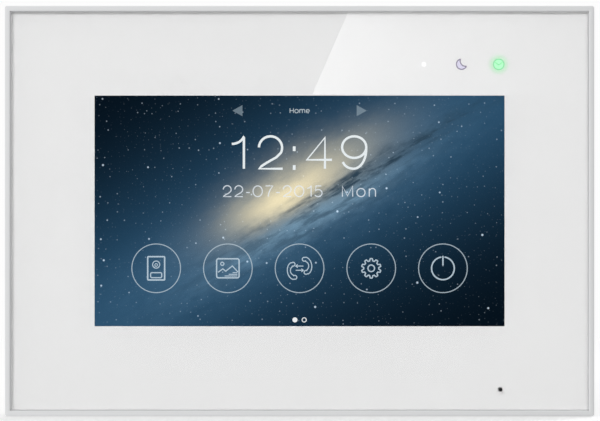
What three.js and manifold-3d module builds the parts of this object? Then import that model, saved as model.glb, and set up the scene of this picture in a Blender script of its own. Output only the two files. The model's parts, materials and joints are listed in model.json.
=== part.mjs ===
// Wall-mounted video intercom monitor with a 7-inch touch display.
//
// Millimetres, +Z up. The wall is the plane y = 0 and the glass faces -Y, with +X to the
// right of a person who looks at the screen. The origin is the centre of the wall
// bracket's rear face. The monitor hangs on four hooks of that bracket.

import * as THREE from 'three';
import { mergeVertices } from 'three/addons/utils/BufferGeometryUtils.js';
import Module from 'manifold-3d';

const wasm = await Module();
wasm.setup();

// ---- Driving dimensions ----------------------------------------------------------------

const WIDTH = 222.5; // over the metal frame
const HEIGHT = 154.8;
const FRONT = -26; // the frame's front edge
const DISPLAY = { width: 155, height: 87.2 }; // active area of a 7-inch 16:9 panel
const GAP = 0.1; // between pieces that rest on each other
const BEYOND = 1; // how far a cutting tool runs past the face that it cuts

// Everything behind the glass is a layer between a front and a rear Y.
const layer = (front, thickness) => ({ front, rear: front + thickness, span: [front, front + thickness] });

const GLASS = layer(FRONT + 0.3, 2);
const PRINT = layer(GLASS.rear + GAP, 0.2);
const TAPE = layer(PRINT.rear + GAP, 0.4);
const LEDGE = layer(TAPE.rear + GAP, 1.2);
const TOUCH = layer(PRINT.rear + GAP, 0.6);
const FOAM = layer(TOUCH.rear + GAP, 0.4);
const PANEL = layer(FOAM.rear + GAP, 1.2);
const BACKLIGHT = layer(PANEL.rear + GAP, 1.3);
const CAN_FLOOR = layer(BACKLIGHT.rear + GAP, 0.4);
const CHASSIS = layer(CAN_FLOOR.rear + 0.3, 1.6);
const FRAME_REAR = CHASSIS.rear + GAP;
const BOARD = layer(CHASSIS.rear + 0.9, 1.6);
const BOARD_TOP = BOARD.rear + GAP; // where the parts on the board's rear side start

// Metal frame around the glass.
const FRAME_WALL = 2.1; // the metal that shows round the glass
const FRAME_CORNER = 0.6;
const LEDGE_WIDTH = 3.5; // the glass is taped to this inner ledge
const GLASS_CLEARANCE = 0.3;

// Touch symbols and lamps in the glass, at the top right, and the microphone hole.
const LAMP_Z = 55.4;
const LAMPS = [
  { name: 'led_dot', x: 47.0, aperture: 1.0 },
  { name: 'led_moon', x: 61.1, aperture: 2.7 },
  { name: 'led_message', x: 75.3, aperture: 2.7 },
];
const MIC = { x: 75.9, z: -67.5, hole: 0.8 };

// Display module, from the touch sensor back to its tray.
const TOUCH_SIZE = [166, 98];
const FOAM_MARGIN = { inner: 0.75, outer: 3.5 }; // past each side of the display's active area
const PANEL_SIZE = [160.6, 95];
const BACKLIGHT_SIZE = [162.6, 97];
const CAN = { width: 165, height: 100, wall: 0.8 };

// Rear cover.
const COVER = {
  front: FRAME_REAR + GAP,
  lipWidth: 219.5,
  lipHeight: 151.8,
  lipRear: -15.4,
  width: 208,
  height: 140,
  draft: 1.7, // how far each side leans in before the rear edge's chamfer
  chamfer: 2,
  rear: -1,
  wall: 2,
};
const COVER_SCREW = { x: 95, z: 61, head: 2.8, core: 1.3 };
const RECESS = { x: 60, low: -52, high: 45, floor: -4.3, wall: 2 }; // takes the bracket
const BAY = { x: 36, low: -46, high: 4, wall: 2 }; // opening to the sockets

// Wall bracket and its hooks.
const BRACKET = { width: 112, height: 84, thickness: 1.2 };
const HOOK = { x: 47, lows: [26, -32], width: 10, height: 7, reach: -7.8 };
const LIFT = 7.5; // the monitor lifts this far to come off the hooks

// Chassis plate, circuit board and what is on the board.
const CHASSIS_SIZE = { width: 212, height: 144 };
const CIRCUIT = { left: -62, right: 98, z: 50 };
const BOARD_SCREW = { xs: [-56, 92], z: 44, head: 2.3, core: 1.1, post: 3.2 };
const JACK = { x: 20, width: 16, mouth: -20, length: 21, height: 11.2, cavity: 11.8, latch: 5.4 };
const TERMINALS = { low: -27, high: -19, height: 9.5 };
const CARD = { x: [89.2, 104.2], y: [-13.9, -12.9], z: 20, width: 11 };
const RESET = { y: -12.4, z: 0, hole: 1.6 };

const SPEAKER = { x: -81, z: -36, radius: 16 };
const BUMPER = { x: 80, z: 60, radius: 5 };
const LABEL_PLACE = { width: 62, height: 12, z: 56, thickness: 0.15 };
const VENT = { count: 13, pitch: 6, width: 2.2, y: [-12.5, -6] };
const GRILLE = { slot: 2, pitch: 3.6, radius: 12.6, rows: [-3, -2, -1, 0, 1, 2, 3] };

// ---- Materials -------------------------------------------------------------------------

const finish = (color, roughness, metalness = 0) =>
  new THREE.MeshStandardMaterial({ color, roughness, metalness });

const ALUMINIUM = finish(0xd6d8da, 0.32, 1);
const STEEL = finish(0xb9bdc1, 0.4, 1);
const CLEAR_GLASS = finish(0xf4f8f7, 0.05);
const WHITE_PRINT = finish(0xe8e8e6, 0.5);
const WHITE_PLASTIC = finish(0xe4e4e1, 0.55);
const BLACK_PLASTIC = finish(0x1b1c1e, 0.5);
const SCREEN = finish(0x0a1a33, 0.2);
const RUBBER = finish(0x26272a, 0.85);
const CIRCUIT_GREEN = finish(0x14603a, 0.45);
const TERMINAL_GREEN = finish(0x2f8f4e, 0.5);
const AMBER_FILM = finish(0xb0702a, 0.4);
const LAMP = finish(0xf6f4da, 0.4);
const LABEL = finish(0xdfe1e3, 0.6);

// ---- Solids ----------------------------------------------------------------------------

const monitor = new THREE.Group();

/** A manifold solid from a closed three.js geometry. */
function solid(geometry) {
  const bare = geometry.clone();
  bare.deleteAttribute('normal');
  bare.deleteAttribute('uv');
  const merged = mergeVertices(bare, 1e-4);
  const corners = merged.index.array;
  const triangles = [];
  for (let i = 0; i < corners.length; i += 3) {
    const [a, b, c] = corners.slice(i, i + 3);
    if (a !== b && b !== c && c !== a) triangles.push(a, b, c);
  }
  return new wasm.Manifold(
    new wasm.Mesh({
      numProp: 3,
      vertProperties: new Float32Array(merged.attributes.position.array),
      triVerts: new Uint32Array(triangles),
    }),
  );
}

/** Adds a finished solid to the monitor as one named piece. */
function piece(name, shape, material) {
  const { vertProperties, triVerts } = shape.getMesh();
  const geometry = new THREE.BufferGeometry();
  geometry.setAttribute('position', new THREE.BufferAttribute(new Float32Array(vertProperties), 3));
  geometry.setIndex(new THREE.BufferAttribute(new Uint32Array(triVerts), 1));
  geometry.computeVertexNormals();
  const mesh = new THREE.Mesh(geometry, material);
  mesh.name = name;
  monitor.add(mesh);
}

const join = (...shapes) => shapes.reduce((sum, shape) => sum.add(shape));
const cut = (shape, ...tools) => tools.reduce((rest, tool) => rest.subtract(tool), shape);

/** A block between a low and a high value on each axis. */
function block([x0, x1], [y0, y1], [z0, z1]) {
  const box = new THREE.BoxGeometry(x1 - x0, y1 - y0, z1 - z0);
  return solid(box.translate((x0 + x1) / 2, (y0 + y1) / 2, (z0 + z1) / 2));
}

/** A span of a given width about a centre. */
const about = (centre, width) => [centre - width / 2, centre + width / 2];

/** A round bar along Y. */
function rodY(x, z, radius, [y0, y1], sides = 20) {
  const rod = new THREE.CylinderGeometry(radius, radius, y1 - y0, sides);
  return solid(rod.translate(x, (y0 + y1) / 2, z));
}

/** A round bar along X. */
function rodX(y, z, radius, [x0, x1], sides = 16) {
  const rod = new THREE.CylinderGeometry(radius, radius, x1 - x0, sides).rotateZ(Math.PI / 2);
  return solid(rod.translate((x0 + x1) / 2, y, z));
}

/** A rectangle with round corners in the XZ plane. */
function roundedRect(width, height, radius, x = 0, z = 0) {
  const [left, right] = about(x, width);
  const [low, high] = about(z, height);
  const outline = new THREE.Shape();
  outline.absarc(right - radius, low + radius, radius, -Math.PI / 2, 0, false);
  outline.absarc(right - radius, high - radius, radius, 0, Math.PI / 2, false);
  outline.absarc(left + radius, high - radius, radius, Math.PI / 2, Math.PI, false);
  outline.absarc(left + radius, low + radius, radius, Math.PI, Math.PI * 1.5, false);
  outline.closePath();
  return outline;
}

/** An outline in the XZ plane, given a thickness along Y. */
function plate(outline, [front, rear], curveSegments = 3) {
  const settings = { depth: rear - front, bevelEnabled: false, curveSegments };
  const sheet = new THREE.ExtrudeGeometry(outline, settings);
  return solid(sheet.rotateX(Math.PI / 2).translate(0, rear, 0));
}

/** A closed solid through rounded rectangles, listed from the front one to the rear one. */
function loft(sections) {
  const rings = sections.map(({ width, height, radius }) => {
    const points = roundedRect(width, height, radius).getPoints(4);
    return points.filter((p, i) => i === 0 || p.distanceTo(points[i - 1]) > 1e-3);
  });
  rings.forEach((ring) => {
    if (ring[0].distanceTo(ring.at(-1)) < 1e-3) ring.pop();
  });
  const count = rings[0].length;
  const positions = rings.flatMap((ring, s) => ring.flatMap((p) => [p.x, sections[s].y, p.y]));
  const index = [];
  for (let s = 0; s + 1 < rings.length; s += 1) {
    for (let i = 0; i < count; i += 1) {
      const next = (i + 1) % count;
      const [a, b] = [s * count + i, s * count + next];
      index.push(a, a + count, b, b, a + count, b + count);
    }
  }
  const last = (rings.length - 1) * count;
  for (const [a, b, c] of THREE.ShapeUtils.triangulateShape(rings[0], [])) {
    index.push(a, b, c, last + a, last + c, last + b);
  }
  const geometry = new THREE.BufferGeometry();
  geometry.setAttribute('position', new THREE.Float32BufferAttribute(positions, 3));
  geometry.setIndex(index);
  return solid(geometry);
}

/** A turned piece about an axis along Y. Its profile is a closed list of radius and Y. */
function turned(profile, x, z, sides = 32) {
  const points = profile.map(([radius, y]) => new THREE.Vector2(radius, y));
  if (THREE.ShapeUtils.isClockWise(points)) points.reverse();
  points.push(points[0].clone());
  return solid(new THREE.LatheGeometry(points, sides).translate(x, 0, z));
}

/** A flat cable: a bent centreline in the YZ plane, with a thickness, and a width along X. */
function ribbon(corners, thickness, [x0, x1]) {
  const bend = 1.2;
  const stops = corners.map(([y, z]) => new THREE.Vector2(y, z));
  const path = new THREE.Path();
  path.moveTo(stops[0].x, stops[0].y);
  for (let i = 1; i + 1 < stops.length; i += 1) {
    const before = stops[i - 1].clone().sub(stops[i]).setLength(bend).add(stops[i]);
    const after = stops[i + 1].clone().sub(stops[i]).setLength(bend).add(stops[i]);
    path.lineTo(before.x, before.y);
    path.quadraticCurveTo(stops[i].x, stops[i].y, after.x, after.y);
  }
  path.lineTo(stops.at(-1).x, stops.at(-1).y);
  const line = path.getPoints(4);
  const side = (sign) =>
    line.map((point, i) => {
      const before = line[Math.max(i - 1, 0)];
      const after = line[Math.min(i + 1, line.length - 1)];
      const along = after.clone().sub(before).normalize();
      const outward = new THREE.Vector2(-along.y, along.x);
      return outward.multiplyScalar((sign * thickness) / 2).add(point);
    });
  const section = new THREE.Shape([...side(1), ...side(-1).reverse()]);
  const strip = new THREE.ExtrudeGeometry(section, { depth: x1 - x0, bevelEnabled: false });
  const [X, Y, Z] = [new THREE.Vector3(1, 0, 0), new THREE.Vector3(0, 1, 0), new THREE.Vector3(0, 0, 1)];
  return solid(strip.applyMatrix4(new THREE.Matrix4().makeBasis(Y, Z, X)).translate(x0, 0, 0));
}

/** A screw along Y with its head at the rear and a hexagonal socket in the head. */
function screw(x, z, { head, core }, headLength, [tip, seat]) {
  const socketDepth = headLength * 0.6;
  return cut(
    join(
      rodY(x, z, head, [seat, seat + headLength], 20),
      rodY(x, z, core, [tip, seat + headLength / 2], 12),
    ),
    rodY(x, z, head * 0.46, [seat + headLength - socketDepth, seat + headLength + BEYOND], 6),
  );
}

/** The same thing done at the four places (x, z), (-x, z), (x, -z) and (-x, -z). */
function atCorners(x, z, make) {
  return [1, -1].flatMap((signZ) => [1, -1].map((signX) => make(signX * x, signZ * z)));
}

// ---- Front: frame, glass and print -----------------------------------------------------

function bezelFrame() {
  const inside = (margin, span) =>
    plate(roundedRect(WIDTH - 2 * margin, HEIGHT - 2 * margin, 0.3), span);
  const ring = cut(
    plate(roundedRect(WIDTH, HEIGHT, FRAME_CORNER), [FRONT, FRAME_REAR]),
    inside(FRAME_WALL, [FRONT - BEYOND, LEDGE.front]),
    inside(FRAME_WALL, [LEDGE.rear, FRAME_REAR + BEYOND]),
    inside(FRAME_WALL + LEDGE_WIDTH, [FRONT - BEYOND, FRAME_REAR + BEYOND]),
  );
  const bossRear = CHASSIS.front - GAP;
  const bossFront = LEDGE.rear - 0.4;
  const bosses = atCorners(1, 1, (sx, sz) => {
    const outer = [sx * (WIDTH / 2 - FRAME_WALL / 2), sz * (HEIGHT / 2 - FRAME_WALL / 2)];
    const inner = [sx * (COVER_SCREW.x - 5), sz * (COVER_SCREW.z - 5)];
    const sorted = [0, 1].map((i) => [outer[i], inner[i]].sort((a, b) => a - b));
    return block(sorted[0], [bossFront, bossRear], sorted[1]);
  });
  const holes = atCorners(COVER_SCREW.x, COVER_SCREW.z, (x, z) =>
    rodY(x, z, COVER_SCREW.core + 0.25, [bossFront + 0.5, bossRear + BEYOND], 12),
  );
  return cut(join(ring, ...bosses), ...holes);
}

const GLASS_WIDTH = WIDTH - 2 * (FRAME_WALL + GLASS_CLEARANCE);
const GLASS_HEIGHT = HEIGHT - 2 * (FRAME_WALL + GLASS_CLEARANCE);

function frontGlass() {
  const sheet = roundedRect(GLASS_WIDTH, GLASS_HEIGHT, 0.4);
  return cut(
    plate(sheet, GLASS.span),
    rodY(MIC.x, MIC.z, MIC.hole, [GLASS.front - BEYOND, GLASS.rear + BEYOND], 16),
  );
}

function maskPrint() {
  const span = [PRINT.front - BEYOND, PRINT.rear + BEYOND];
  const apertures = LAMPS.map(({ x, aperture }) => rodY(x, LAMP_Z, aperture, span, 20));
  return cut(
    plate(roundedRect(GLASS_WIDTH, GLASS_HEIGHT, 0.4), PRINT.span),
    block(about(0, DISPLAY.width), span, about(0, DISPLAY.height)),
    rodY(MIC.x, MIC.z, MIC.hole + 0.2, span, 16),
    ...apertures,
  );
}

/** A rectangular ring from its outer size and its inner size. */
function ring(outer, inner, { span, front, rear }) {
  const hole = [front - BEYOND, rear + BEYOND];
  return cut(
    block(about(0, outer[0]), span, about(0, outer[1])),
    block(about(0, inner[0]), hole, about(0, inner[1])),
  );
}

piece('bezel_frame', bezelFrame(), ALUMINIUM);
piece('front_glass', frontGlass(), CLEAR_GLASS);
piece('mask_print', maskPrint(), WHITE_PRINT);

const tapeOuter = [GLASS_WIDTH - 0.4, GLASS_HEIGHT - 0.4];
const ledgeInset = 2 * (FRAME_WALL + LEDGE_WIDTH - 0.25);
piece('glass_tape', ring(tapeOuter, [WIDTH - ledgeInset, HEIGHT - ledgeInset], TAPE), BLACK_PLASTIC);

// ---- Display module --------------------------------------------------------------------

/** A flat block of a given size about the display's centre. */
const sheetOf = ([width, height], span) => block(about(0, width), span, about(0, height));

const displayGrownBy = (margin) => [DISPLAY.width + 2 * margin, DISPLAY.height + 2 * margin];

piece('touch_sensor', sheetOf(TOUCH_SIZE, TOUCH.span), CLEAR_GLASS);
piece(
  'lcd_foam',
  ring(displayGrownBy(FOAM_MARGIN.outer), displayGrownBy(FOAM_MARGIN.inner), FOAM),
  RUBBER,
);
piece('lcd_panel', sheetOf(PANEL_SIZE, PANEL.span), SCREEN);
piece('backlight', sheetOf(BACKLIGHT_SIZE, BACKLIGHT.span), WHITE_PLASTIC);

function displayCan() {
  const inner = [CAN.width - 2 * CAN.wall, CAN.height - 2 * CAN.wall];
  return cut(
    sheetOf([CAN.width, CAN.height], [PANEL.front, CAN_FLOOR.rear]),
    sheetOf(inner, [PANEL.front - BEYOND, CAN_FLOOR.front]),
  );
}

piece('lcd_frame', displayCan(), STEEL);

// ---- Lamps behind the glass and microphone ---------------------------------------------

const LAMP_STRIP = [LAMPS[0].x - 5, LAMPS.at(-1).x + 5];
const LED_BOARD = layer(CHASSIS.front - 0.2 - 1, 1);

function lightGuide() {
  const depth = [PRINT.rear + GAP, LED_BOARD.front - GAP];
  const wellSpan = [depth[0] - BEYOND, depth[1] + BEYOND];
  const wells = LAMPS.map(({ x }) => rodY(x, LAMP_Z, 3.4, wellSpan, 20));
  return cut(block(LAMP_STRIP, depth, about(LAMP_Z, 10)), ...wells);
}

piece('light_guide', lightGuide(), WHITE_PLASTIC);
piece('led_board', block(LAMP_STRIP, LED_BOARD.span, about(LAMP_Z, 8)), CIRCUIT_GREEN);
for (const { name, x } of LAMPS) {
  const rear = LED_BOARD.front - GAP;
  piece(name, block(about(x, 1.6), [rear - 0.8, rear], about(LAMP_Z, 0.8)), LAMP);
}

const BOOT = layer(PRINT.rear + GAP, CHASSIS.front - 0.2 - PRINT.rear - GAP);
const CAPSULE_SEAT = BOOT.front + 1;
const bootProfile = [
  [MIC.hole, BOOT.front],
  [3.3, BOOT.front],
  [3.3, BOOT.rear],
  [2.3, BOOT.rear],
  [2.3, CAPSULE_SEAT],
  [MIC.hole, CAPSULE_SEAT],
];
piece('mic_boot', turned(bootProfile, MIC.x, MIC.z, 20), RUBBER);
piece('microphone', rodY(MIC.x, MIC.z, 2, [CAPSULE_SEAT + GAP, CAPSULE_SEAT + 2.1]), STEEL);

// ---- Chassis and circuit board ---------------------------------------------------------

const LCD_RIBBON = { x: [48, 76], z: -(CAN.height / 2 + 2), thickness: 0.25 };
const TOUCH_RIBBON = { x: [-20, -8], z: CAN.height / 2 + 2, thickness: 0.25 };
const RIBBON_REAR = BOARD_TOP + 0.6; // centre of a flat cable where it enters its socket
const postHeight = BOARD.front - GAP;
const throughChassis = [CHASSIS.front - BEYOND, postHeight + BEYOND];

const boardScrewPlaces = BOARD_SCREW.xs.flatMap((x) =>
  [1, -1].map((sign) => [x, sign * BOARD_SCREW.z]),
);

function chassis() {
  const slot = ({ x, z }) => block([x[0] - 1, x[1] + 1], throughChassis, about(z, 3));
  const threadSpan = [CHASSIS.front + 0.4, postHeight + BEYOND];
  const posts = boardScrewPlaces.map(([x, z]) =>
    rodY(x, z, BOARD_SCREW.post, [CHASSIS.front, postHeight]),
  );
  const postHoles = boardScrewPlaces.map(([x, z]) =>
    rodY(x, z, BOARD_SCREW.core + 0.25, threadSpan, 12),
  );
  const screwHoles = atCorners(COVER_SCREW.x, COVER_SCREW.z, (x, z) =>
    rodY(x, z, COVER_SCREW.core + 0.6, throughChassis, 12),
  );
  const sheet = roundedRect(CHASSIS_SIZE.width, CHASSIS_SIZE.height, 2);
  return cut(
    join(plate(sheet, CHASSIS.span), ...posts),
    ...postHoles,
    ...screwHoles,
    slot(LCD_RIBBON),
    slot(TOUCH_RIBBON),
  );
}

function mainBoard() {
  const { left, right, z } = CIRCUIT;
  const through = [BOARD.front - BEYOND, BOARD.rear + BEYOND];
  const holes = boardScrewPlaces.map(([x, zHole]) =>
    rodY(x, zHole, BOARD_SCREW.core + 0.5, through, 12),
  );
  const sheet = roundedRect(right - left, 2 * z, 2, (left + right) / 2);
  return cut(plate(sheet, BOARD.span), ...holes);
}

piece('chassis', chassis(), STEEL);
piece('main_board', mainBoard(), CIRCUIT_GREEN);
boardScrewPlaces.forEach(([x, z], i) => {
  const shape = screw(x, z, BOARD_SCREW, 1.5, [CHASSIS.front + 0.6, BOARD_TOP]);
  piece(`board_screw_${i + 1}`, shape, STEEL);
});

/** A part of a given size soldered on the board's rear side. */
const onBoard = (x, z, width, length, height) =>
  block(about(x, width), [BOARD_TOP, BOARD_TOP + height], about(z, length));

piece('processor', onBoard(62, 10, 15, 15, 1.3), BLACK_PLASTIC);
piece('memory_chip', onBoard(62, 30, 13, 9, 1.1), BLACK_PLASTIC);
piece('shield_can', onBoard(62, -20, 26, 22, 2.6), STEEL);
piece('ethernet_transformer', onBoard(JACK.x, 15, 12.6, 9.6, 5.6), BLACK_PLASTIC);
piece('inductor', onBoard(-14, 16, 10, 10, 4.2), BLACK_PLASTIC);

[-52, -42, -32].forEach((x, i) => {
  const [z, radius, base] = [12, 3.15, 1];
  const body = rodY(x, z, radius, [BOARD_TOP + base / 2, BOARD_TOP + 5.8], 24);
  piece(`capacitor_${i + 1}`, join(onBoard(x, z, 6.6, 6.6, base), body), ALUMINIUM);
});

const CELL = { x: -34, z: 32, radius: 6.25, thickness: 2 };
const cellSeat = BOARD_TOP + 0.8;
const cellPocket = rodY(CELL.x, CELL.z, CELL.radius + 0.3, [cellSeat, BOARD_TOP + 5], 32);
piece('cell_holder', cut(onBoard(CELL.x, CELL.z, 16, 15, 2.6), cellPocket), BLACK_PLASTIC);
piece(
  'coin_cell',
  rodY(CELL.x, CELL.z, CELL.radius, [cellSeat + GAP, cellSeat + GAP + CELL.thickness], 32),
  STEEL,
);

// ---- Flat cables -----------------------------------------------------------------------

const socketHeight = 1.6;
const socketLength = 4;
const socketEdge = CIRCUIT.z - 3; // where the cables enter, measured from the middle

const lcdRibbonRoute = [
  [PANEL.rear, LCD_RIBBON.z + 1.7],
  [PANEL.rear, LCD_RIBBON.z],
  [RIBBON_REAR, LCD_RIBBON.z],
  [RIBBON_REAR, -socketEdge - 0.3],
];
const touchRibbonRoute = [
  [TOUCH.front + 0.3, TOUCH_SIZE[1] / 2 + 0.3],
  [TOUCH.front + 0.3, TOUCH_RIBBON.z],
  [RIBBON_REAR, TOUCH_RIBBON.z],
  [RIBBON_REAR, socketEdge + 0.3],
];

/** The socket that takes a flat cable, on the board's top (sign 1) or bottom edge (sign -1). */
function cableSocket({ x: [x0, x1] }, sign) {
  const z = sign * (socketEdge - socketLength / 2);
  return onBoard((x0 + x1) / 2, z, x1 - x0 + 4, socketLength, socketHeight);
}

piece('lcd_ribbon', ribbon(lcdRibbonRoute, LCD_RIBBON.thickness, LCD_RIBBON.x), AMBER_FILM);
piece('lcd_connector', cableSocket(LCD_RIBBON, -1), WHITE_PLASTIC);
piece('touch_ribbon', ribbon(touchRibbonRoute, TOUCH_RIBBON.thickness, TOUCH_RIBBON.x), AMBER_FILM);
piece('touch_connector', cableSocket(TOUCH_RIBBON, 1), WHITE_PLASTIC);

// ---- Sockets in the rear bay -----------------------------------------------------------

function networkJack() {
  const { x, width, mouth, length, height } = JACK;
  const cavity = [BOARD_TOP + 1.6, BOARD_TOP + 8.8];
  const latch = [cavity[1] - 0.5, BOARD_TOP + 10.2];
  const depth = [mouth - BEYOND, mouth + 15];
  return cut(
    block(about(x, width), [BOARD_TOP, BOARD_TOP + height], [mouth, mouth + length]),
    block(about(x, JACK.cavity), cavity, depth),
    block(about(x, JACK.latch), latch, depth),
  );
}

/** A screw terminal: wires enter from below and their clamp screws face the wall. */
function terminal(x, ways, pitch) {
  const { low, high } = TERMINALS;
  const rear = BOARD_TOP + TERMINALS.height;
  const body = block(about(x, ways * pitch), [BOARD_TOP, rear], [low, high]);
  const tools = Array.from({ length: ways }, (_, i) => {
    const centre = x + (i - (ways - 1) / 2) * pitch;
    return [
      block(about(centre, pitch * 0.62), about(BOARD_TOP + 3.4, 2.8), [low - BEYOND, low + 4.5]),
      rodY(centre, (low + high) / 2, pitch * 0.36, [rear - 2.6, rear + BEYOND], 16),
    ];
  });
  return cut(body, ...tools.flat());
}

piece('rj45_jack', networkJack(), STEEL);
piece('power_terminal', terminal(-26, 2, 5.08), TERMINAL_GREEN);
piece('signal_terminal', terminal(-5, 6, 3.5), TERMINAL_GREEN);

// ---- Memory card and reset button on the right side ------------------------------------

function cardSocket() {
  const mouth = CIRCUIT.right + 0.6;
  const side = [CARD.x[0] - 3, mouth];
  return cut(
    block(side, [BOARD_TOP, CARD.y[1] + 0.6], about(CARD.z, CARD.width + 4)),
    block(
      [CARD.x[0] - 0.8, mouth + BEYOND],
      [CARD.y[0] - GAP, CARD.y[1] + GAP],
      about(CARD.z, CARD.width + 0.4),
    ),
  );
}

function memoryCard() {
  const [inner, outer] = CARD.x;
  const [low, high] = about(CARD.z, CARD.width);
  const outline = new THREE.Shape();
  outline.moveTo(outer, low);
  outline.lineTo(outer, high);
  outline.lineTo(inner + 8.2, high);
  outline.lineTo(inner + 6.8, high - 1.3);
  outline.lineTo(inner, high - 1.3);
  outline.lineTo(inner, low);
  outline.closePath();
  const body = plate(outline, [CARD.y[0], CARD.y[1] - 0.3]);
  const grip = block([outer - 1.1, outer], CARD.y, [low, high]);
  return join(body, grip);
}

piece('sd_socket', cardSocket(), STEEL);
piece('sd_card', memoryCard(), BLACK_PLASTIC);

const resetStem = CIRCUIT.right - 0.2;
piece(
  'reset_switch',
  join(
    block(
      [CIRCUIT.right - 5.6, CIRCUIT.right - 0.8],
      [BOARD_TOP, BOARD_TOP + 3.6],
      about(RESET.z, 6),
    ),
    rodX(RESET.y, RESET.z, 0.9, [CIRCUIT.right - 1.5, resetStem]),
  ),
  BLACK_PLASTIC,
);
piece(
  'reset_button',
  join(
    rodX(RESET.y, RESET.z, 0.8, [resetStem + 0.6, CIRCUIT.right + 2]),
    rodX(RESET.y, RESET.z, 2.2, [CIRCUIT.right + 1.9, CIRCUIT.right + 2.9]),
    rodX(RESET.y, RESET.z, RESET.hole - 0.3, [CIRCUIT.right + 2, CIRCUIT.right + 5.3]),
  ),
  BLACK_PLASTIC,
);

// ---- Loudspeaker -----------------------------------------------------------------------

const coverInnerRear = COVER.rear - COVER.wall;
const GASKET = layer(coverInnerRear - GAP - 1.1, 1.1);
const basketRim = GASKET.front - GAP;
const basketProfile = [
  [SPEAKER.radius, basketRim],
  [SPEAKER.radius, basketRim - 1],
  [14.2, basketRim - 1],
  [9.4, basketRim - 6],
  [5, basketRim - 6],
  [5, basketRim - 5.2],
  [8.9, basketRim - 5.2],
  [13.4, basketRim - 0.5],
  [13.4, basketRim],
];
const coneProfile = [
  [12.6, basketRim - 0.6],
  [11.6, basketRim - 0.2],
  [10.2, basketRim - 0.8],
  [5.2, basketRim - 4],
  [3.4, basketRim - 2.9],
  [0, basketRim - 2.3],
  [0, basketRim - 2.7],
  [3.3, basketRim - 3.3],
  [5.2, basketRim - 4.5],
  [10.2, basketRim - 1.2],
  [11.6, basketRim - 0.6],
  [12.6, basketRim - 0.95],
];
const gasketProfile = [
  [13.4, GASKET.front],
  [SPEAKER.radius, GASKET.front],
  [SPEAKER.radius, GASKET.rear],
  [13.4, GASKET.rear],
];
const magnetRear = basketRim - 6 - GAP;

piece('speaker_gasket', turned(gasketProfile, SPEAKER.x, SPEAKER.z), RUBBER);
piece('speaker_frame', turned(basketProfile, SPEAKER.x, SPEAKER.z), STEEL);
piece('speaker_cone', turned(coneProfile, SPEAKER.x, SPEAKER.z), BLACK_PLASTIC);
piece('speaker_magnet', rodY(SPEAKER.x, SPEAKER.z, 8, [magnetRear - 3.6, magnetRear], 32), STEEL);

function speakerLead() {
  const radius = 0.7;
  const route = new THREE.CatmullRomCurve3([
    new THREE.Vector3(SPEAKER.x + 11.2, basketRim - 5.6, SPEAKER.z),
    new THREE.Vector3(SPEAKER.x + 14.5, basketRim - 5.4, SPEAKER.z + 1),
    new THREE.Vector3(SPEAKER.x + 19, basketRim - 6, SPEAKER.z + 4),
    new THREE.Vector3(CIRCUIT.left + 3, basketRim - 7.4, SPEAKER.z + 6.5),
    new THREE.Vector3(CIRCUIT.left + 3.5, BOARD_TOP + 0.2, SPEAKER.z + 7.5),
  ]);
  const section = new THREE.Shape();
  section.absarc(0, 0, radius, 0, Math.PI * 2, false);
  return solid(
    new THREE.ExtrudeGeometry(section, { steps: 16, curveSegments: 4, extrudePath: route }),
  );
}

piece('speaker_lead', speakerLead(), RUBBER);

// ---- Rear cover ------------------------------------------------------------------------

const coverSections = (inset, front, rear) => {
  const section = (y, shrink) => ({
    y,
    width: COVER.width - 2 * (inset + shrink),
    height: COVER.height - 2 * (inset + shrink),
    radius: 4 - inset / 2,
  });
  return [
    section(front, 0),
    section(rear - COVER.chamfer, COVER.draft),
    section(rear, COVER.draft + COVER.chamfer),
  ];
};

/** Slots of a round loudspeaker grille, cut to the length of the circle's chords. */
function grilleSlots() {
  const { slot, pitch, radius, rows } = GRILLE;
  return rows.map((row) => {
    const chord = 2 * Math.sqrt(radius ** 2 - (row * pitch) ** 2);
    const z = SPEAKER.z + row * pitch;
    const outline = roundedRect(chord, slot, slot / 2 - 0.01, SPEAKER.x, z);
    return plate(outline, [coverInnerRear - BEYOND, COVER.rear + BEYOND]);
  });
}

/** Air slots through the top and bottom walls. */
function ventSlots() {
  const { count, pitch, width, y } = VENT;
  const xs = Array.from({ length: count }, (_, i) => (i - (count - 1) / 2) * pitch);
  const wallZ = COVER.height / 2;
  return xs.flatMap((x) => [
    block(about(x, width), y, [wallZ - 5, wallZ + 2]),
    block(about(x, width), y, [-wallZ - 2, -wallZ + 5]),
  ]);
}

const hookPlaces = HOOK.lows.flatMap((low) => [HOOK.x, -HOOK.x].map((x) => ({ x, low })));

/** Slots that the hooks reach through, long enough for the hook's tongue when lifted. */
function hookSlots() {
  const clearance = 1.5;
  const through = [RECESS.floor - RECESS.wall - BEYOND, RECESS.floor + BEYOND];
  return hookPlaces.map(({ x, low }) =>
    block(about(x, HOOK.width + 2), through, [
      low - LIFT - clearance,
      low + BRACKET.thickness + GAP,
    ]),
  );
}

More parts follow.
